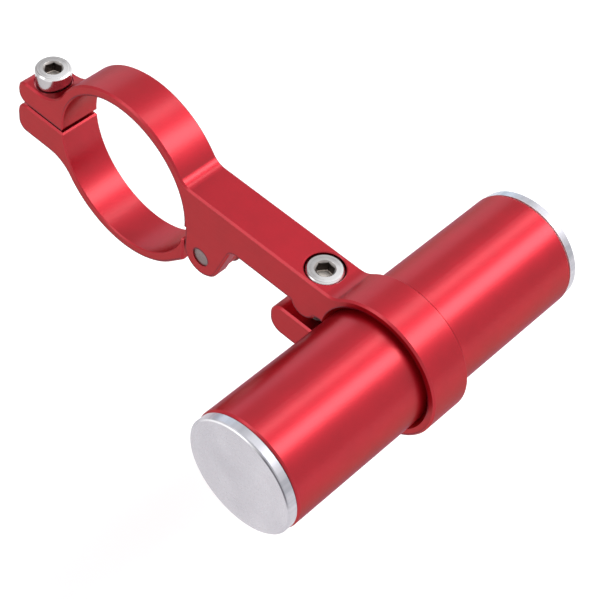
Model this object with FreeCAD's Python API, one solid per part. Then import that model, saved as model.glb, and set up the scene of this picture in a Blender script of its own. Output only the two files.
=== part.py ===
import FreeCAD, Part
import math
import os

# Handlebar extender: a hinged clamp for the handlebar, a flat arm and a split ring that holds a short tube.
# The origin is the centre of the clamp's bore. X runs along the arm to the tube, Y along the bar and tube, Z up.

# Driving dimensions, in millimetres

# Clamp round the handlebar
bar_diameter = 31.8
clamp_wall = 2.0
band_width = 8.6
split_height = -0.9
split_gap = 0.5
split_corner = 0.9
split_bevel = 0.3

# Ears that the clamp screw draws together, their length counted from the clamp's outside
ear_length = 10.1
ear_screw_inset = 5.15
upper_ear_top = 4.5
upper_ear_round = 2.3
upper_ear_blend = 8.0
lower_ear_overhang = 0.5
lower_ear_bottom = -8.0
lower_ear_top_round = 2.8
lower_ear_bottom_round = 2.2
lower_ear_blend = 6.5

# Arm
arm_top = 9.2
arm_bottom = 1.8
arm_clamp_blend = 3.2
arm_ring_blend = 4.5
edge_bevel = 0.35
bore_bevel = 0.2

# Hinge of the jaw
hinge_standoff = 2.4
hinge_height = -5.1
hinge_pin_radius = 1.8
hinge_pin_recess = 0.25
cheek_radius = 4.15
cheek_flank_reach = 7.0
cheek_flank_blend = 2.0
tongue_width = 2.8
tongue_radius = 3.8
tongue_rise = 1.5
shoulder_rise = 0.9
shoulder_flare_angle = -45.0

# Tube and its ring
tube_diameter = 22.2
tube_wall = 2.0
tube_length = 68.2
tube_offset = 0.5
tube_x = 60.3
tube_height = 0.4
tube_end_bevel = 0.35
ring_wall = 2.1
ring_bore_bevel = 0.7

# Lugs of the split ring
ring_screw_x = 44.7
upper_boss_radius = 2.85
upper_boss_drop = 1.9
upper_boss_shift = -0.5
lug_gap = 2.0
lug_height = 6.4
lug_reach = 7.4
lug_end_round = 2.9
lug_ring_blend = 3.5
slot_relief_radius = 1.5
slot_relief_height = 0.9

# End caps
cap_step = 0.2
cap_thickness = 1.9
cap_bevel = 0.3
cap_groove_width = 0.2
cap_groove_depth = 0.4
spigot_length = 6.0
spigot_wall = 1.6
spigot_lead = 0.5

# Socket cap screws
screw_head_radius = 3.35
screw_head_height = 4.0
screw_head_bevel = 0.3
screw_core_radius = 1.68
screw_tip_bevel = 0.4
socket_across_flats = 3.0
socket_depth = 2.2
socket_mouth_radius = 1.9
clamp_screw_length = 10.0
clamp_screw_turn = 15.0
ring_screw_length = 12.0
ring_screw_turn = 53.0
clamp_seat_depth = 0.6
ring_head_sink = 0.15

# Clearances, on the radius or on each side
tube_clearance = 0.05
hinge_clearance = 0.05
pin_seat_clearance = 0.01
spigot_clearance = 0.01
screw_shank_clearance = 0.45
thread_clearance = 0.32
seat_clearance = 0.27
seat_bevel = 0.2
tongue_clearance = 0.2
cheek_clearance = 0.35
shoulder_clearance = 0.3

# Sizes that follow from them
bar_radius = bar_diameter / 2
clamp_radius = bar_radius + clamp_wall
hinge_x = clamp_radius + hinge_standoff
cheek_flank_x = hinge_x + cheek_flank_reach
tube_radius = tube_diameter / 2
cap_radius = tube_radius - cap_step
ring_bore_radius = tube_radius + tube_clearance
ring_radius = ring_bore_radius + ring_wall
upper_ear_reach = clamp_radius + ear_length
lower_ear_reach = upper_ear_reach + lower_ear_overhang
clamp_screw_x = ear_screw_inset - upper_ear_reach
half_width = band_width / 2
upper_split = split_height + split_gap / 2
lower_split = split_height - split_gap / 2
shoulder_x = hinge_x - cheek_radius - shoulder_clearance
arm_middle = (arm_bottom + arm_top) / 2
boss_bottom = arm_bottom - upper_boss_drop
lug_top = boss_bottom - lug_gap
lug_bottom = lug_top - lug_height
slot_relief_x = tube_x - ring_radius + ring_wall / 2
tube_right_end = tube_offset - tube_length / 2
tube_left_end = tube_offset + tube_length / 2
tube_bore_radius = tube_radius - tube_wall
seat_radius = screw_head_radius + seat_clearance
clamp_seat = upper_ear_top - clamp_seat_depth
ring_seat = arm_top - ring_head_sink - screw_head_height
reach = 4 * clamp_radius

AXIS_Y = FreeCAD.Vector(0, 1, 0)
AXIS_Z = FreeCAD.Vector(0, 0, 1)


def disc(x, z, radius, width=band_width):
    """A cylinder along Y, centred on the plane of the arm."""
    return Part.makeCylinder(radius, width, FreeCAD.Vector(x, -width / 2, z), AXIS_Y)


def slab(x_low, x_high, z_low, z_high, width=band_width):
    """A box of the given extent, centred on the plane of the arm."""
    corner = FreeCAD.Vector(x_low, -width / 2, z_low)
    return Part.makeBox(x_high - x_low, width, z_high - z_low, corner)


def prism(points, width=band_width):
    """A polygon in the plane of the arm, given width along Y."""
    corners = [FreeCAD.Vector(x, -width / 2, z) for x, z in points]
    outline = Part.makePolygon(corners + corners[:1])
    return Part.Face(outline).extrude(FreeCAD.Vector(0, width, 0))


def rod(x, z_low, z_high, radius):
    """An upright cylinder on the plane of the arm."""
    return Part.makeCylinder(radius, z_high - z_low, FreeCAD.Vector(x, 0, z_low), AXIS_Z)


def cross_edge(shape, x, z):
    """The edge along Y that passes nearest to a point of the profile."""
    found = []
    for edge in shape.Edges:
        if not isinstance(edge.Curve, Part.Line) or edge.Length < half_width:
            continue
        start = edge.Vertexes[0].Point
        end = edge.Vertexes[-1].Point
        if math.hypot(start.x - end.x, start.z - end.z) < 0.001:
            found.append((math.hypot(start.x - x, start.z - z), len(found), edge))
    return min(found)[2]


def round_corner(shape, x, z, radius):
    """Round the corner of the profile at a point."""
    return shape.makeFillet(radius, [cross_edge(shape, x, z)])


def bevel_sides(body):
    """Bevel the outline of both side faces."""
    outline = []
    for edge in body.Edges:
        box = edge.BoundBox
        if box.YLength < 0.001 and abs(abs(box.YMax) - half_width) < 0.001:
            outline.append(edge)
    return body.makeChamfer(edge_bevel, outline)


def bore(x, z, radius, bevel):
    """Cutter for a round bore across the band, beveled at both faces."""
    cutter = disc(x, z, radius)
    for side in (-1, 1):
        face = FreeCAD.Vector(x, side * half_width, z)
        inward = FreeCAD.Vector(0, -side, 0)
        cutter = cutter.fuse(Part.makeCone(radius + bevel, radius, bevel, face, inward))
    return cutter


def circle_x(centre_x, centre_z, radius, z, side):
    """Where a level line crosses a circle of the profile, on its left (-1) or right (1)."""
    return centre_x + side * math.sqrt(radius ** 2 - (z - centre_z) ** 2)


def one_solid(shape):
    """The shape's one solid, with faces that lie in one surface joined."""
    return shape.removeSplitter().Solids[0]


# Arm: upper half of the clamp, flat arm, hinge cheeks and split ring in one piece

def upper_clamp():
    """Half ring over the handlebar with its ear, both ending at the split."""
    ring = disc(0, 0, clamp_radius)
    ear = slab(-upper_ear_reach, 0, upper_split, upper_ear_top)
    body = ring.fuse(ear).removeSplitter()
    body = body.cut(slab(-reach, reach, -reach, upper_split))
    corner_x = circle_x(0, 0, clamp_radius, upper_ear_top, -1)
    body = round_corner(body, corner_x, upper_ear_top, upper_ear_blend)
    body = round_corner(body, -upper_ear_reach, upper_ear_top, upper_ear_round)
    return round_corner(body, -upper_ear_reach, upper_split, upper_ear_round)


def hinge_knuckle():
    """Round end about the hinge pin with a straight flank up to the arm's underside."""
    across = cheek_flank_x - hinge_x
    up = arm_bottom - hinge_height
    distance = math.hypot(across, up)
    normal = math.atan2(up, across) - math.acos(cheek_radius / distance)
    touch_x = hinge_x + cheek_radius * math.cos(normal)
    touch_z = hinge_height + cheek_radius * math.sin(normal)
    outline = [
        (hinge_x - cheek_radius, hinge_height),
        (hinge_x - cheek_radius, arm_middle),
        (cheek_flank_x, arm_middle),
        (cheek_flank_x, arm_bottom),
        (touch_x, touch_z),
        (hinge_x, hinge_height),
    ]
    return disc(hinge_x, hinge_height, cheek_radius).fuse(prism(outline))


def ring_lugs():
    """Round boss under the arm and the long lug of the ring below the gap."""
    boss_x = ring_screw_x + upper_boss_shift
    boss = disc(boss_x, boss_bottom + upper_boss_radius, upper_boss_radius)
    lug = slab(ring_screw_x - lug_reach, tube_x, lug_bottom, lug_top)
    lug = round_corner(lug, ring_screw_x - lug_reach, lug_top, lug_end_round)
    lug = round_corner(lug, ring_screw_x - lug_reach, lug_bottom, lug_end_round)
    return boss, lug


def arm_blank():
    """Outer form of the arm before its bores and slots are cut."""
    clamp = upper_clamp()
    bar = slab(0, tube_x, arm_bottom, arm_top)
    boss, lug = ring_lugs()
    ring = disc(tube_x, tube_height, ring_radius)
    blank = clamp.fuse([bar, hinge_knuckle(), boss, lug, ring]).removeSplitter()
    blank = round_corner(blank, circle_x(0, 0, clamp_radius, arm_top, 1), arm_top, arm_clamp_blend)
    ring_x = circle_x(tube_x, tube_height, ring_radius, arm_top, -1)
    blank = round_corner(blank, ring_x, arm_top, arm_ring_blend)
    ring_x = circle_x(tube_x, tube_height, ring_radius, lug_bottom, -1)
    blank = round_corner(blank, ring_x, lug_bottom, lug_ring_blend)
    blank = round_corner(blank, cheek_flank_x, arm_bottom, cheek_flank_blend)
    return blank


def ring_split():
    """Gap between the lugs, through the ring's wall, with a round relief at its root."""
    gap = slab(ring_screw_x, tube_x, lug_top, boss_bottom)
    relief = disc(slot_relief_x, slot_relief_height, slot_relief_radius)
    return gap.fuse(relief)


def hinge_slot(width):
    """Slot across the knuckle that the jaw's tongue swings in."""
    top = hinge_height + tongue_radius + cheek_clearance
    return slab(bar_radius - clamp_wall, cheek_flank_x + cheek_radius, -clamp_radius, top, width)


def screw_seat(x, seat, top):
    """Round recess for a screw's head, with a beveled mouth where it meets a flat top."""
    pocket = rod(x, seat, top + screw_head_height, seat_radius)
    mouth = Part.makeCone(
        seat_radius, seat_radius + 2 * seat_bevel, 2 * seat_bevel,
        FreeCAD.Vector(x, 0, top - seat_bevel), AXIS_Z)
    return pocket.fuse(mouth)


def make_arm():
    """Arm with both bores, the split of the ring, the hinge slot and the holes for pin and screws."""
    body = bevel_sides(arm_blank())
    bar_bore = bore(0, 0, bar_radius, bore_bevel)
    tube_bore = bore(tube_x, tube_height, ring_bore_radius, ring_bore_bevel)
    body = body.cut([bar_bore, tube_bore, ring_split()])
    body = round_corner(one_solid(body), -bar_radius, upper_split, split_corner)
    shank_radius = screw_core_radius + screw_shank_clearance
    thread_radius = screw_core_radius + thread_clearance
    tools = [
        hinge_slot(tongue_width + 2 * tongue_clearance),
        disc(hinge_x, hinge_height, hinge_pin_radius + pin_seat_clearance),
        rod(clamp_screw_x, upper_split - split_gap, arm_top, shank_radius),
        rod(clamp_screw_x, clamp_seat, reach, seat_radius),
        rod(ring_screw_x, boss_bottom - split_gap, arm_top, shank_radius),
        rod(ring_screw_x, -reach, lug_top + split_gap, thread_radius),
        screw_seat(ring_screw_x, ring_seat, arm_top),
    ]
    return one_solid(body.cut(tools))


# Jaw: lower half of the clamp with its ear and the hinge tongue in one piece

def jaw_tongue():
    """Narrow eye round the hinge pin, joined to the jaw's shoulder."""
    eye = disc(hinge_x, hinge_height, tongue_radius, tongue_width)
    root = slab(
        shoulder_x - clamp_wall, hinge_x,
        hinge_height - tongue_radius, hinge_height + tongue_rise, tongue_width)
    return eye.fuse(root)


def jaw_blank():
    """Outer form of the jaw before its bores are cut."""
    flare = math.radians(shoulder_flare_angle)
    flare_x = clamp_radius * math.cos(flare)
    flare_z = clamp_radius * math.sin(flare)
    end_z = flare_z + (shoulder_x - flare_x) / math.tan(-flare)
    shoulder = prism([(0, 0), (flare_x, flare_z), (shoulder_x, end_z), (shoulder_x, 0)])
    ear = slab(-lower_ear_reach, 0, lower_ear_bottom, lower_split)
    body = disc(0, 0, clamp_radius).fuse([ear, shoulder]).removeSplitter()
    body = body.cut([
        slab(-reach, 0, lower_split, reach),
        slab(0, reach, hinge_height + shoulder_rise, reach),
        slab(shoulder_x, reach, -reach, reach),
    ])
    corner_x = circle_x(0, 0, clamp_radius, lower_ear_bottom, -1)
    body = round_corner(body, corner_x, lower_ear_bottom, lower_ear_blend)
    body = round_corner(body, -lower_ear_reach, lower_ear_bottom, lower_ear_bottom_round)
    body = round_corner(body, -lower_ear_reach, lower_split, lower_ear_top_round)
    return body


def make_jaw():
    """Jaw with its half of the bar's bore, the pin's hole and the threaded hole in its ear."""
    body = one_solid(bevel_sides(jaw_blank()).cut(bore(0, 0, bar_radius, bore_bevel)))
    inner_x = circle_x(0, 0, bar_radius, lower_split, -1)
    body = body.makeChamfer(split_bevel, [cross_edge(body, inner_x, lower_split)])
    body = body.fuse(jaw_tongue().cut(disc(0, 0, bar_radius)))
    thread_radius = screw_core_radius + thread_clearance
    return one_solid(body.cut([
        disc(hinge_x, hinge_height, hinge_pin_radius + hinge_clearance),
        rod(clamp_screw_x, -reach, upper_split, thread_radius),
    ]))


def make_hinge_pin():
    """Plain pin pressed into both cheeks, its ends a little below their faces."""
    return disc(hinge_x, hinge_height, hinge_pin_radius, band_width - 2 * hinge_pin_recess)


# Tube and end caps

def make_tube():
    """Thin-walled tube with beveled outer edges at both ends."""
    low = FreeCAD.Vector(tube_x, tube_right_end, tube_height)
    wall = Part.makeCylinder(tube_radius, tube_length, low, AXIS_Y)
    rims = [edge for edge in wall.Edges if isinstance(edge.Curve, Part.Circle)]
    wall = wall.makeChamfer(tube_end_bevel, rims)
    return one_solid(wall.cut(Part.makeCylinder(tube_bore_radius, tube_length, low, AXIS_Y)))


def make_end_cap(end_y, outward):
    """Turned plug: a flange with a groove at the tube's end and a hollow spigot inside the tube."""
    spigot_radius = tube_bore_radius - spigot_clearance
    groove_radius = cap_radius - cap_groove_depth
    profile = [
        (0, cap_thickness),
        (cap_radius - cap_bevel, cap_thickness),
        (cap_radius, cap_thickness - cap_bevel),
        (cap_radius, cap_groove_width),
        (groove_radius, cap_groove_width),
        (groove_radius, 0),
        (spigot_radius, 0),
        (spigot_radius, spigot_lead - spigot_length),
        (spigot_radius - spigot_lead, -spigot_length),
        (spigot_radius - spigot_wall, -spigot_length),
        (spigot_radius - spigot_wall, 0),
        (0, 0),
    ]
    corners = [FreeCAD.Vector(tube_x + r, end_y + outward * y, tube_height) for r, y in profile]
    outline = Part.Face(Part.makePolygon(corners + corners[:1]))
    axis_point = FreeCAD.Vector(tube_x, end_y, tube_height)
    cap = outline.revolve(axis_point, AXIS_Y, 360)
    return cap.Solids[0]


# Screws

def hexagon(x, z_low, z_high, turn):
    """Upright hexagonal prism for a screw's socket, its corners turned about Z."""
    corner_radius = socket_across_flats / math.sqrt(3)
    corners = []
    for index in range(6):
        angle = math.radians(turn + 60 * index)
        corners.append(FreeCAD.Vector(
            x + corner_radius * math.cos(angle), corner_radius * math.sin(angle), z_low))
    outline = Part.makePolygon(corners + corners[:1])
    return Part.Face(outline).extrude(FreeCAD.Vector(0, 0, z_high - z_low))


def make_screw(x, seat, length, turn):
    """Socket cap screw, drawn at the root of its thread."""
    top = seat + screw_head_height
    head = rod(x, seat, top, screw_head_radius)
    rim = [e for e in head.Edges if isinstance(e.Curve, Part.Circle) and e.Curve.Center.z > seat]
    head = head.makeChamfer(screw_head_bevel, rim)
    core = rod(x, seat - length, seat, screw_core_radius)
    tip = [e for e in core.Edges if isinstance(e.Curve, Part.Circle) and e.Curve.Center.z < seat]
    core = core.makeChamfer(screw_tip_bevel, tip)
    flat_radius = socket_across_flats / 2
    mouth_depth = socket_mouth_radius - flat_radius
    mouth = Part.makeCone(
        flat_radius, socket_mouth_radius, mouth_depth, FreeCAD.Vector(x, 0, top - mouth_depth), AXIS_Z)
    socket = hexagon(x, top - socket_depth, top + screw_head_bevel, turn).fuse(mouth)
    return one_solid(head.fuse(core).cut(socket))


def main():
    os.makedirs("parts", exist_ok=True)
    nodes = {
        "arm": make_arm(),
        "clamp_jaw": make_jaw(),
        "hinge_pin": make_hinge_pin(),
        "clamp_screw": make_screw(clamp_screw_x, clamp_seat, clamp_screw_length, clamp_screw_turn),
        "ring_screw": make_screw(ring_screw_x, ring_seat, ring_screw_length, ring_screw_turn),
        "extension_tube": make_tube(),
        "end_cap_right": make_end_cap(tube_right_end, -1),
        "end_cap_left": make_end_cap(tube_left_end, 1),
    }
    for name, solid in nodes.items():
        solid.exportStep(f"parts/{name}.step")


main()
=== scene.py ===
import math

import bmesh
import bpy
from mathutils import Matrix, Vector


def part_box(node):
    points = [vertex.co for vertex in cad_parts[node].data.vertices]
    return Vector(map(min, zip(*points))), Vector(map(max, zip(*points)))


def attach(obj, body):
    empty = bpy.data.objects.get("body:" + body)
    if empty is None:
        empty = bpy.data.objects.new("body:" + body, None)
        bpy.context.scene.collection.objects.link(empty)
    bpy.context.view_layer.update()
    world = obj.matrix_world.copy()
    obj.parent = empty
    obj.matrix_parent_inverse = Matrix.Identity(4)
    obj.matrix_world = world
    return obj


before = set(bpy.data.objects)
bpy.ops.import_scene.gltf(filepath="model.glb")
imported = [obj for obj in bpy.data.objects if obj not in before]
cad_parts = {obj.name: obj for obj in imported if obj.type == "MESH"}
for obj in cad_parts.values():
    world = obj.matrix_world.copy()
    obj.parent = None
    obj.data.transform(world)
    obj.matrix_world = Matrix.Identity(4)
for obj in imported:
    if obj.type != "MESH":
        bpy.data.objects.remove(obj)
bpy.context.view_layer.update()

MM = 0.001


def box_mm(node):
    """A node's lowest and highest corners in millimetres."""
    return [[value / MM for value in corner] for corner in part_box(node)]


def middle(node):
    """The centre of a node's box in millimetres."""
    low, high = box_mm(node)
    return [(a + b) / 2 for a, b in zip(low, high)]


# Sizes and places in millimetres, read off the part or the same as its own
TUBE_X, _, TUBE_Z = middle("extension_tube")
CLAMP_SCREW_X = middle("clamp_screw")[0]
TUBE_RADIUS = 11.1
RING_RADIUS = 13.25
CLAMP_RADIUS = 17.9
CAP_RADIUS = 10.9
CAP_THICKNESS = 1.9
CAP_BEVEL = 0.3
CAP_GROOVE_WIDTH = 0.2
FAR_GROOVE_Y = box_mm("end_cap_left")[1][1] - CAP_THICKNESS + CAP_GROOVE_WIDTH / 2
HEAD_HEIGHT = 4.0
HEAD_RADIUS = 3.35
SOCKET_DEPTH = 2.2
SOCKET_RADIUS = 1.75
RECESS_RADIUS = 3.6
RECESS_HEIGHT = 4.35

# Screw threads in millimetres, the ridge's half heights as shares of the pitch
CORE_RADIUS = 1.68
CREST_RADIUS = 1.96
PITCH = 0.7
ROOT_SINK = 0.06
ROOT_HALF = 0.42
CREST_HALF = 0.06
STEPS_PER_TURN = 28
THREAD_END_GAP = 0.6
THREAD_HEAD_GAP = 0.7

# Camera in millimetres, fitted to the photograph
CAMERA_PLACE = (158.34793, -149.52642, 218.07716)
CAMERA_RIGHT = (0.72393581, 0.68557027, 0.07687876)
CAMERA_DOWN = (0.55854387, -0.51706903, -0.64858951)
CAMERA_FORWARD = (-0.40490206, 0.51247734, -0.75724586)
CAMERA_LENS = 102.1357
CAMERA_SENSOR = 36.0

# Studio: the floor's height in millimetres, the other lengths in metres
FLOOR_HEIGHT = -51.0
FLOOR_SIZE = 6.0
FLOOR_GLOW = 0.32
PLAIN_LIGHT = 0.65
AIM = (0.045, 0.0, 0.0)
LAMP_DISTANCE = 0.62
REAR_LAMP_COLOUR = (0.48, 0.86, 1.1)


def rgba(red, green, blue, scale=1.0):
    return (red * scale, green * scale, blue * scale, 1.0)


# Colours
RED = (0.39, 0.003, 0.014)
RED_WORN_AND_LIT_EDGE = rgba(0.58, 0.07, 0.09)
RED_PAINTED_RIM_SHADE = rgba(0.13, 0.0, 0.02)
RED_PAINTED_RECESS_LIGHT = rgba(0.95, 0.30, 0.32)
RED_EDGE_TINT = (0.33, 0.05, 0.30)
CAP_DARKER = rgba(0.49, 0.47, 0.51)
CAP_LIGHTER = rgba(0.55, 0.53, 0.57)
CAP_RINGS = rgba(0.66, 0.65, 0.68)
CAP_PAINTED_REFLECTION_STREAKS = rgba(0.34, 0.345, 0.38)
CAP_PAINTED_DIM_UNDER_LAMPS = rgba(0.36, 0.36, 0.39)
CAP_CORNER_PAINTED_SHADE = rgba(0.10, 0.09, 0.11)
CAP_CORNER_PAINTED_HIGHLIGHT = rgba(0.93, 0.92, 0.94)
CAP_PAINTED_GROOVE_LIGHT = rgba(0.97, 0.88, 0.89)
STEEL_DARKER = rgba(0.39, 0.38, 0.385)
STEEL_LIGHTER = rgba(0.53, 0.52, 0.525)
STEEL_PAINTED_REFLECTION_BANDS = rgba(0.74, 0.72, 0.72)
STEEL_RINGS = rgba(0.33, 0.32, 0.32)
STEEL_PAINTED_SHADE_RINGS = rgba(0.16, 0.14, 0.14)
STEEL_PAINTED_SHADE_BACK = rgba(0.34, 0.325, 0.33)
STEEL_PAINTED_LIGHT_FRONT = rgba(0.95, 0.94, 0.95)
STEEL_PAINTED_SIDE_SHADE = rgba(0.34, 0.31, 0.32)
SOCKET_MOUTH = rgba(0.30, 0.28, 0.27)
SOCKET_PAINTED_SHADE_DARKER = rgba(0.015, 0.010, 0.008)
SOCKET_PAINTED_SHADE_LIGHTER = rgba(0.06, 0.045, 0.04)
SOCKET_PAINTED_FLOOR_HIGHLIGHT = rgba(0.97, 0.90, 0.84)
SHANK_PAINTED_SHADE = rgba(0.05, 0.025, 0.025)
PIN_DARKER = rgba(0.19, 0.14, 0.14)
PIN_LIGHTER = rgba(0.27, 0.20, 0.20)
PIN_PITS = rgba(0.10, 0.085, 0.08)
FLOOR_DARKER = rgba(0.86, 0.86, 0.86)
FLOOR_LIGHTER = rgba(0.89, 0.89, 0.89)

# Clear coat that gives the anodised surface its neutral sheen
COAT = 0.20
COAT_ROUGHNESS = 0.27
COAT_IOR = 2.2


class Shader:
    """A material's node tree with short calls for the nodes used here."""

    def __init__(self, name):
        self.material = bpy.data.materials.new(name)
        self.material.use_nodes = True
        self.tree = self.material.node_tree
        self.nodes = self.tree.nodes
        self.nodes.clear()
        self.output = self.add("ShaderNodeOutputMaterial")

    def add(self, kind, **values):
        node = self.nodes.new(kind)
        for key, value in values.items():
            setattr(node, key, value)
        return node

    def link(self, source, target):
        self.tree.links.new(source, target)

    def put(self, socket, value):
        """Link an output to a socket, or set the socket's own value."""
        if isinstance(value, bpy.types.NodeSocket):
            self.link(value, socket)
        else:
            socket.default_value = value

    def math(self, operation, first, second=0.0):
        node = self.add("ShaderNodeMath", operation=operation)
        self.put(node.inputs[0], first)
        self.put(node.inputs[1], second)
        return node.outputs[0]

    def plus(self, first, second):
        return self.math("ADD", first, second)

    def minus(self, first, second):
        return self.math("SUBTRACT", first, second)

    def times(self, first, second):
        return self.math("MULTIPLY", first, second)

    def larger(self, first, second):
        return self.math("MAXIMUM", first, second)

    def above(self, value, limit):
        """1 where the value is above the limit, 0 elsewhere."""
        return self.math("GREATER_THAN", value, limit)

    def below(self, value, limit):
        """1 where the value is below the limit, 0 elsewhere."""
        return self.math("LESS_THAN", value, limit)

    def off(self, value, target):
        """How far a value is from a target, to either side."""
        return self.math("ABSOLUTE", self.minus(value, target))

    def length(self, across, along):
        """Distance from the origin of a point in a plane."""
        return self.math("SQRT", self.plus(self.times(across, across), self.times(along, along)))

    def spread(self, value, low_in, high_in, low_out=0.0, high_out=1.0):
        """Map a range of values to another one, clamped."""
        node = self.add("ShaderNodeMapRange")
        for socket, number in zip(node.inputs, (value, low_in, high_in, low_out, high_out)):
            self.put(socket, number)
        return node.outputs[0]

    def blend(self, factor, first, second):
        """Mix two colours, which are inputs 6 and 7 of the node."""
        node = self.add("ShaderNodeMix", data_type="RGBA")
        self.put(node.inputs["Factor"], factor)
        self.put(node.inputs[6], first)
        self.put(node.inputs[7], second)
        return node.outputs[2]

    def split(self, vector):
        node = self.add("ShaderNodeSeparateXYZ")
        self.link(vector, node.inputs[0])
        return node.outputs

    def join(self, x, y, z):
        node = self.add("ShaderNodeCombineXYZ")
        for socket, value in zip(node.inputs, (x, y, z)):
            self.put(socket, value)
        return node.outputs[0]

    def dot(self, first, second):
        node = self.add("ShaderNodeVectorMath", operation="DOT_PRODUCT")
        self.link(first, node.inputs[0])
        self.link(second, node.inputs[1])
        return node.outputs["Value"]

    def turn_axes(self, normal, source, target):
        """A normal given in one set of axes, OBJECT or WORLD, in the other one."""
        node = self.add("ShaderNodeVectorTransform", vector_type="NORMAL")
        node.convert_from = source
        node.convert_to = target
        self.link(normal, node.inputs[0])
        return node.outputs[0]

    def millimetres(self):
        """Coordinates of the row frame in millimetres. They stay with the piece when it moves."""
        place = self.add("ShaderNodeTexCoord")
        scale = self.add("ShaderNodeVectorMath", operation="SCALE")
        self.link(place.outputs["Object"], scale.inputs[0])
        scale.inputs["Scale"].default_value = 1 / MM
        return scale.outputs[0]

    def around(self, place, x, z):
        """Distance from the line along Y through (x, z), in millimetres."""
        px, _, pz = self.split(place)
        return self.length(self.minus(px, x), self.minus(pz, z))

    def noise(self, vector, scale, detail=2.0, roughness=0.5):
        node = self.add("ShaderNodeTexNoise")
        self.link(vector, node.inputs["Vector"])
        node.inputs["Scale"].default_value = scale
        node.inputs["Detail"].default_value = detail
        node.inputs["Roughness"].default_value = roughness
        return node.outputs["Fac"]

    def bump(self, height, strength, distance_mm, below=None):
        node = self.add("ShaderNodeBump")
        node.inputs["Strength"].default_value = strength
        node.inputs["Distance"].default_value = distance_mm * MM
        self.link(height, node.inputs["Height"])
        if below is not None:
            self.link(below, node.inputs["Normal"])
        return node.outputs[0]

    def own_normal(self):
        """The surface's normal in the piece's own axes."""
        return self.add("ShaderNodeTexCoord").outputs["Normal"]

    def true_normal(self):
        """The surface's normal in the world's axes."""
        return self.add("ShaderNodeNewGeometry").outputs["Normal"]

    def rounded_normal(self, radius_mm, samples):
        """The normal that the surface would have with its edges rounded."""
        node = self.add("ShaderNodeBevel", samples=samples)
        node.inputs["Radius"].default_value = radius_mm * MM
        return node.outputs[0]

    def edges(self, radius_mm):
        """1 on sharp edges, 0 on flat and gently curved faces."""
        facing = self.dot(self.rounded_normal(radius_mm, samples=6), self.true_normal())
        return self.spread(facing, 0.97, 0.85)

    def under_rim(self, radius_mm):
        """1 where a side face's rim turns down, or back towards the clamp, 0 elsewhere."""
        rounded = self.turn_axes(self.rounded_normal(radius_mm, samples=8), "WORLD", "OBJECT")
        x, _, z = self.split(rounded)
        down = self.spread(z, -0.03, -0.16)
        back = self.times(self.spread(x, -0.05, -0.25), self.spread(z, 0.06, 0.0))
        sideways = self.math("ABSOLUTE", self.split(self.own_normal())[1])
        return self.times(self.larger(down, back), self.above(sideways, 0.9))

    def round_normal(self, place, circles):
        """The surface's normal, made exactly radial on cylinders along Y given as (x, z, radius).

        The two vectors to mix are inputs 4 and 5 of the mix node.
        """
        normal = self.true_normal()
        px, _, pz = self.split(place)
        for x, z, radius in circles:
            outwards = self.add("ShaderNodeVectorMath", operation="NORMALIZE")
            self.link(self.join(self.minus(px, x), 0.0, self.minus(pz, z)), outwards.inputs[0])
            radial = outwards.outputs[0]
            near = self.below(self.off(self.around(place, x, z), radius), 0.04)
            aligned = self.above(self.dot(radial, self.own_normal()), 0.98)
            mix = self.add("ShaderNodeMix", data_type="VECTOR")
            self.link(self.times(near, aligned), mix.inputs["Factor"])
            self.link(normal, mix.inputs[4])
            self.link(self.turn_axes(radial, "OBJECT", "WORLD"), mix.inputs[5])
            normal = mix.outputs[1]
        return normal

    def metal(self, colour, roughness, normal):
        """Finish the material as bare metal and return its shader node."""
        node = self.add("ShaderNodeBsdfPrincipled")
        node.inputs["Metallic"].default_value = 1.0
        self.put(node.inputs["Base Color"], colour)
        self.put(node.inputs["Roughness"], roughness)
        self.link(normal, node.inputs["Normal"])
        self.link(node.outputs[0], self.output.inputs["Surface"])
        return node


# Materials

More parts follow.
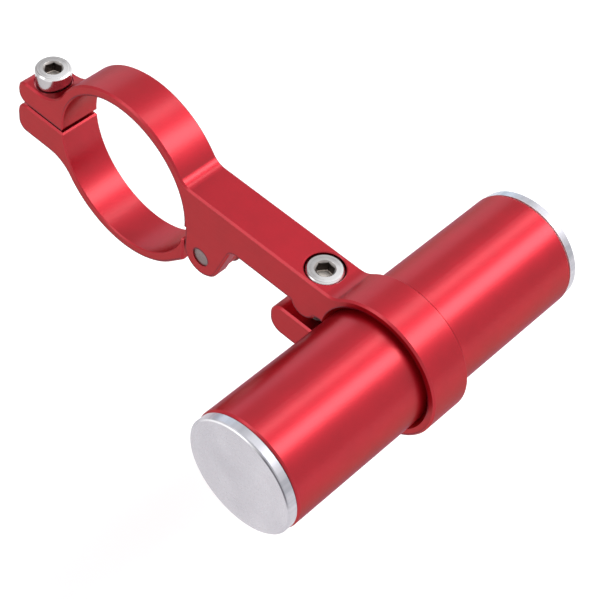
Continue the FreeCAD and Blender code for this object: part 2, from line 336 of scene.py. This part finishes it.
def red_anodised(name, turned):
    """Satin red anodised aluminium with a blasted grain, tool marks and paler worn edges, a painted
    highlight on the far side's edges, painted shade under the side faces' rims and painted light round
    the clamp screw's seat.
    """
    s = Shader(name)
    place = s.millimetres()
    px, py, pz = s.split(place)
    cloud = s.noise(place, 0.22, detail=3.0)
    grain = s.noise(place, 5.5, detail=4.0, roughness=0.65)
    if turned:
        marks = s.noise(s.join(0.0, py, 0.0), 4.0, detail=4.0, roughness=0.7)
    else:
        marks = s.noise(s.join(s.times(px, 0.25), py, s.times(pz, 5.0)), 0.8, detail=3.0)
    base = s.blend(s.spread(cloud, 0.3, 0.7), rgba(*RED, 0.95), rgba(*RED, 1.05))
    base = s.blend(s.spread(grain, 0.45, 0.8, 0.0, 0.35), base, rgba(*RED, 1.25))

    edge = s.edges(0.22)
    patchy = s.times(edge, s.spread(s.noise(place, 1.1, detail=3.0), 0.35, 0.7, 0.1, 0.45))
    # Edges are paler red in patches from wear, and along the whole far side (+Y) as a painted
    # highlight.
    wear_and_far_highlight = s.larger(patchy, s.times(edge, s.spread(py, 2.0, 3.5, 0.0, 0.9)))
    base = s.blend(wear_and_far_highlight, base, RED_WORN_AND_LIT_EDGE)
    if not turned:
        # Painted shade: rims of side faces that turn down or back towards the clamp are darker red.
        base = s.blend(s.under_rim(0.65), base, RED_PAINTED_RIM_SHADE)
    # Painted light: the ring round the clamp screw's head, where its seat's gap lies in shade, is a
    # paler red.
    from_screw = s.length(s.minus(px, CLAMP_SCREW_X), py)
    recess_painted_light = s.times(s.spread(from_screw, RECESS_RADIUS + 0.12, RECESS_RADIUS),
                     s.spread(pz, RECESS_HEIGHT + 0.15, RECESS_HEIGHT))
    base = s.blend(s.times(recess_painted_light, s.above(pz, 1.5)), base, RED_PAINTED_RECESS_LIGHT)

    satin = 0.37 if turned else 0.41
    rough = s.spread(grain, 0.3, 0.7, satin, satin + 0.04)
    rough = s.plus(rough, s.spread(marks, 0.3, 0.7, -0.02, 0.03))
    rough = s.minus(rough, s.times(wear_and_far_highlight, 0.08))
    if turned:
        cylinders = [(TUBE_X, TUBE_Z, TUBE_RADIUS)]
    else:
        cylinders = [(TUBE_X, TUBE_Z, RING_RADIUS), (0.0, 0.0, CLAMP_RADIUS)]
    normal = s.bump(marks, 0.10 if turned else 0.06, 0.012, below=s.round_normal(place, cylinders))
    normal = s.bump(grain, 0.16, 0.014, below=normal)
    metal = s.metal(base, rough, normal)
    metal.inputs["Specular Tint"].default_value = rgba(*RED_EDGE_TINT)
    metal.inputs["Coat Weight"].default_value = COAT
    metal.inputs["Coat Roughness"].default_value = COAT_ROUGHNESS
    metal.inputs["Coat IOR"].default_value = COAT_IOR
    return s.material


def turned_aluminium(name):
    """Clear anodised aluminium faced on a lathe: fine rings, a rim with painted reflection streaks and
    painted shade under the lamps, a painted highlight and shade line on its corner and painted light in
    the far cap's groove.
    """
    s = Shader(name)
    place = s.millimetres()
    px, py, pz = s.split(place)
    radius = s.around(place, TUBE_X, TUBE_Z)
    turn = s.math("ARCTAN2", s.minus(pz, TUBE_Z), s.minus(px, TUBE_X))
    rings = s.noise(s.join(radius, s.times(py, 0.6), 0.0), 5.0, detail=4.0, roughness=0.7)
    grain = s.noise(place, 7.0, detail=3.0)
    cloud = s.noise(place, 0.16, detail=1.0)
    base = s.blend(s.spread(cloud, 0.3, 0.7), CAP_DARKER, CAP_LIGHTER)
    base = s.blend(s.spread(rings, 0.3, 0.75, 0.0, 0.15), base, CAP_RINGS)

    rim = s.spread(radius, CAP_RADIUS - 0.5, CAP_RADIUS - 0.2)
    # Painted reflection: darker streaks round the rim.
    streaks = s.noise(s.join(turn, 0.0, 0.0), 2.6, detail=3.0, roughness=0.7)
    streaky_reflection = s.times(s.spread(streaks, 0.42, 0.6), s.spread(turn, -0.5, 0.3, 0.2, 0.85))
    base = s.blend(s.times(rim, streaky_reflection), base, CAP_PAINTED_REFLECTION_STREAKS)
    # Painted shade: the rim is darker where the lamps' highlights fall on it.
    dim_under_lamps = s.spread(s.off(turn, 1.25), 0.6, 0.3, 0.0, 0.7)
    base = s.blend(s.times(rim, dim_under_lamps), base, CAP_PAINTED_DIM_UNDER_LAMPS)

    # Painted highlight and shade on the corner between face and rim: bright on its upper part and on
    # the far cap, dark lower towards +X.
    painted_highlight_side = s.larger(s.spread(turn, 1.1, 1.5), s.above(py, 0.0))
    painted_line = s.blend(painted_highlight_side, CAP_CORNER_PAINTED_SHADE, CAP_CORNER_PAINTED_HIGHLIGHT)
    corner = s.spread(s.off(radius, CAP_RADIUS - CAP_BEVEL), 0.18, 0.09, 0.0, 0.85)
    stretch = s.times(s.spread(turn, 0.2, 0.45), s.spread(turn, 2.6, 2.2))
    base = s.blend(s.times(corner, stretch), base, painted_line)
    # Painted light: the far cap's groove at the tube's end is a pale pink instead of lying in shade.
    base = s.blend(s.below(s.off(py, FAR_GROOVE_Y), 0.13), base, CAP_PAINTED_GROOVE_LIGHT)

    rough = s.plus(s.spread(grain, 0.3, 0.7, 0.24, 0.30), s.spread(rings, 0.3, 0.7, -0.03, 0.03))
    rough = s.plus(rough, s.times(rim, 0.18))
    normal = s.bump(rings, 0.04, 0.010, below=s.round_normal(place, [(TUBE_X, TUBE_Z, CAP_RADIUS)]))
    normal = s.bump(grain, 0.06, 0.010, below=normal)
    s.metal(base, rough, normal)
    return s.material


def screw_steel(name, x, top):
    """Stainless steel: turned rings on the head, a dull socket mouth, painted reflection bands and
    painted dark rings on the head, painted light and shade on its two sides and round side, painted
    shade on the socket walls and shank and a painted highlight on the socket floor.
    """
    s = Shader(name)
    place = s.millimetres()
    px, py, pz = s.split(place)
    dx = s.minus(px, x)
    radius = s.length(dx, py)
    depth = s.minus(top, pz)
    rings = s.noise(s.join(radius, s.times(pz, 0.5), 0.0), 5.0, detail=4.0, roughness=0.7)
    bands = s.noise(s.join(radius, 0.0, 0.0), 1.9, detail=1.0)
    cloud = s.noise(place, 0.8, detail=3.0)
    base = s.blend(s.spread(cloud, 0.3, 0.7), STEEL_DARKER, STEEL_LIGHTER)
    # Painted reflection: broad bright bands round the head.
    base = s.blend(s.spread(bands, 0.35, 0.65, 0.0, 0.5), base, STEEL_PAINTED_REFLECTION_BANDS)
    base = s.blend(s.spread(rings, 0.45, 0.75, 0.0, 0.4), base, STEEL_RINGS)
    # Painted shade: two thin dark rings just inside the head's rim.
    for inset, share in ((0.32, 0.7), (0.8, 0.3)):
        painted_line = s.spread(s.off(radius, HEAD_RADIUS - inset), 0.09, 0.04, 0.0, share)
        base = s.blend(painted_line, base, STEEL_PAINTED_SHADE_RINGS)
    # Painted shade on the head's -X side and painted light on its +X side.
    base = s.blend(s.spread(dx, 1.0, -3.0, 0.0, 0.5), base, STEEL_PAINTED_SHADE_BACK)
    base = s.blend(s.spread(dx, 0.0, 3.0, 0.0, 0.7), base, STEEL_PAINTED_LIGHT_FRONT)
    # Painted shade: the head's round side below its top edge is darker.
    side = s.times(s.spread(depth, 0.4, 0.6, 0.0, 0.6), s.above(radius, HEAD_RADIUS - 0.1))
    base = s.blend(side, base, STEEL_PAINTED_SIDE_SHADE)

    inside = s.spread(radius, SOCKET_RADIUS + 0.25, SOCKET_RADIUS + 0.18)
    mouth = s.times(inside, s.spread(depth, 0.01, 0.04))
    wall = s.times(inside, s.spread(depth, 0.2, 0.45))
    floor = s.times(inside, s.spread(depth, SOCKET_DEPTH - 0.1, SOCKET_DEPTH - 0.02))
    base = s.blend(mouth, base, SOCKET_MOUTH)
    # Painted shade: the socket's walls are nearly black.
    base = s.blend(wall, base, s.blend(cloud, SOCKET_PAINTED_SHADE_DARKER, SOCKET_PAINTED_SHADE_LIGHTER))
    # Painted highlight: the socket's floor is nearly white.
    base = s.blend(floor, base, SOCKET_PAINTED_FLOOR_HIGHLIGHT)
    # Painted shade: the shank and thread below the head are nearly black.
    base = s.blend(s.spread(depth, HEAD_HEIGHT, HEAD_HEIGHT + 0.1, 0.0, 0.9), base, SHANK_PAINTED_SHADE)

    rough = s.plus(s.spread(rings, 0.3, 0.7, 0.16, 0.26), s.times(mouth, 0.3))
    s.metal(base, rough, s.bump(rings, 0.22, 0.010))
    return s.material


def dull_steel(name):
    """The hinge pin's cut end: dull, brownish and a little pitted."""
    s = Shader(name)
    place = s.millimetres()
    pits = s.noise(place, 3.5, detail=4.0, roughness=0.7)
    cloud = s.noise(place, 0.8, detail=2.0)
    base = s.blend(s.spread(cloud, 0.3, 0.7), PIN_DARKER, PIN_LIGHTER)
    base = s.blend(s.spread(pits, 0.5, 0.75, 0.0, 0.6), base, PIN_PITS)
    s.metal(base, s.spread(pits, 0.3, 0.7, 0.38, 0.5), s.bump(pits, 0.25, 0.02))
    return s.material


def seen_directly(tree):
    """1 for what the camera sees, also in reflections and through clear pieces, 0 for plain light."""
    path = tree.nodes.new("ShaderNodeLightPath")
    seen = path.outputs["Is Camera Ray"]
    for ray in ("Is Glossy Ray", "Is Transmission Ray"):
        either = tree.nodes.new("ShaderNodeMath")
        either.operation = "MAXIMUM"
        tree.links.new(seen, either.inputs[0])
        tree.links.new(path.outputs[ray], either.inputs[1])
        seen = either.outputs[0]
    return seen


def backdrop_white(name):
    """Pale floor: what the camera and reflections see is lifted to white, and the shadow stays."""
    s = Shader(name)
    paper = s.noise(s.millimetres(), 0.8, detail=3.0)
    diffuse = s.add("ShaderNodeBsdfDiffuse")
    s.put(diffuse.inputs["Color"], s.blend(paper, FLOOR_DARKER, FLOOR_LIGHTER))
    s.link(s.bump(paper, 0.05, 0.05), diffuse.inputs["Normal"])
    glow = s.add("ShaderNodeEmission")
    s.put(glow.inputs["Strength"], s.times(seen_directly(s.tree), FLOOR_GLOW))
    total = s.add("ShaderNodeAddShader")
    s.link(diffuse.outputs[0], total.inputs[0])
    s.link(glow.outputs[0], total.inputs[1])
    s.link(total.outputs[0], s.output.inputs["Surface"])
    return s.material


# Pieces added to the model

def screw_thread(name, x, z_low, z_high, material, body):
    """A single helical ridge on a screw's core, fading out at both ends."""
    turns = (z_high - z_low) / PITCH
    steps = int(turns * STEPS_PER_TURN)
    mesh = bmesh.new()
    previous = None
    for index in range(steps + 1):
        share = index / steps
        angle = 2 * math.pi * turns * share
        fade = min(1.0, 2 * turns * share, 2 * turns * (1 - share))
        crest = CORE_RADIUS + (CREST_RADIUS - CORE_RADIUS) * fade
        height = z_low + (z_high - z_low) * share
        root = CORE_RADIUS - ROOT_SINK
        outline = ((root, -ROOT_HALF), (crest, -CREST_HALF), (crest, CREST_HALF), (root, ROOT_HALF))
        section = []
        for radius, rise in outline:
            px = (x + radius * math.cos(angle)) * MM
            py = radius * math.sin(angle) * MM
            pz = (height + rise * PITCH) * MM
            section.append(mesh.verts.new((px, py, pz)))
        if previous:
            for side in range(4):
                other = (side + 1) % 4
                mesh.faces.new((previous[side], previous[other], section[other], section[side]))
        else:
            mesh.faces.new(reversed(section))
        previous = section
    mesh.faces.new(previous)
    bmesh.ops.recalc_face_normals(mesh, faces=mesh.faces)
    data = bpy.data.meshes.new(name)
    mesh.to_mesh(data)
    mesh.free()
    piece = bpy.data.objects.new(name, data)
    bpy.context.scene.collection.objects.link(piece)
    data.materials.append(material)
    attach(piece, body)


def dress(node, material):
    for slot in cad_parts[node].material_slots:
        slot.material = material


def dress_screw(screw):
    low, high = box_mm(screw)
    x = middle(screw)[0]
    steel = screw_steel("steel_" + screw, x, high[2])
    dress(screw, steel)
    thread_top = high[2] - HEAD_HEIGHT - THREAD_HEAD_GAP
    screw_thread(screw + "_thread", x, low[2] + THREAD_END_GAP, thread_top, steel, screw)


# Studio

def make_floor():
    mesh = bpy.data.meshes.new("studio_floor")
    half = FLOOR_SIZE / 2
    height = FLOOR_HEIGHT * MM
    sides = ((-half, -half), (half, -half), (half, half), (-half, half))
    mesh.from_pydata([(x, y, height) for x, y in sides], [], [(0, 1, 2, 3)])
    mesh.materials.append(backdrop_white("floor_white"))
    floor = bpy.data.objects.new("studio_floor", mesh)
    bpy.context.scene.collection.objects.link(floor)


def make_world():
    """White behind everything and in reflections, a softer level as plain light."""
    world = bpy.data.worlds.new("studio")
    bpy.context.scene.world = world
    world.use_nodes = True
    tree = world.node_tree
    tree.nodes.clear()
    mix = tree.nodes.new("ShaderNodeMixShader")
    tree.links.new(seen_directly(tree), mix.inputs[0])
    for socket, strength in ((mix.inputs[1], PLAIN_LIGHT), (mix.inputs[2], 1.0)):
        background = tree.nodes.new("ShaderNodeBackground")
        background.inputs["Color"].default_value = (1, 1, 1, 1)
        background.inputs["Strength"].default_value = strength
        tree.links.new(background.outputs[0], socket)
    out = tree.nodes.new("ShaderNodeOutputWorld")
    tree.links.new(mix.outputs[0], out.inputs[0])


def make_softbox(name, tilt, aside, width, length, radiance, colour=(1.0, 1.0, 1.0)):
    """Area lamp aimed at the part. Tilt is its angle about Y from +X, aside its share along +Y."""
    across = math.sqrt(1 - aside ** 2)
    angle = math.radians(tilt)
    direction = Vector((across * math.cos(angle), aside, across * math.sin(angle)))
    lamp = bpy.data.lights.new(name, "AREA")
    lamp.shape = "RECTANGLE"
    lamp.size = width
    lamp.size_y = length
    lamp.energy = radiance * math.pi * width * length
    lamp.color = colour
    piece = bpy.data.objects.new(name, lamp)
    bpy.context.scene.collection.objects.link(piece)
    along = (Vector((0, 1, 0)) - direction * aside).normalized()
    wide = along.cross(direction)
    turn = Matrix((wide, along, direction)).transposed().to_4x4()
    piece.matrix_world = Matrix.Translation(Vector(AIM) + direction * LAMP_DISTANCE) @ turn
    piece.visible_camera = False


def make_lamps():
    """Two narrow lamps make the bands of light along the tube. The rear one is slightly cool."""
    make_softbox("softbox_high", tilt=59.5, aside=0.58, width=0.19, length=0.62, radiance=5.8)
    make_softbox("softbox_back", tilt=95.5, aside=0.58, width=0.12, length=0.62, radiance=3.3)
    make_softbox("softbox_left", tilt=130.0, aside=-0.75, width=0.26, length=0.26, radiance=1.9)
    make_softbox("softbox_rear", tilt=169.0, aside=0.51, width=0.36, length=0.36, radiance=1.1,
                 colour=REAR_LAMP_COLOUR)


def make_camera():
    data = bpy.data.cameras.new("camera")
    data.lens = CAMERA_LENS
    data.sensor_width = CAMERA_SENSOR
    data.clip_start = 0.01
    data.clip_end = 20.0
    camera = bpy.data.objects.new("camera", data)
    bpy.context.scene.collection.objects.link(camera)
    up = -Vector(CAMERA_DOWN)
    back = -Vector(CAMERA_FORWARD)
    turn = Matrix((Vector(CAMERA_RIGHT), up, back)).transposed().to_4x4()
    camera.matrix_world = Matrix.Translation(Vector(CAMERA_PLACE) * MM) @ turn
    bpy.context.scene.camera = camera


def main():
    bpy.context.scene.view_settings.view_transform = "Standard"
    make_camera()
    make_world()
    make_floor()
    make_lamps()

    milled = red_anodised("anodised_red", turned=False)
    drawn = red_anodised("anodised_red_tube", turned=True)
    cap = turned_aluminium("cap_aluminium")
    dress("arm", milled)
    dress("clamp_jaw", milled)
    dress("extension_tube", drawn)
    dress("end_cap_right", cap)
    dress("end_cap_left", cap)
    dress("hinge_pin", dull_steel("pin_steel"))
    dress_screw("clamp_screw")
    dress_screw("ring_screw")


main()
bpy.context.view_layer.update()
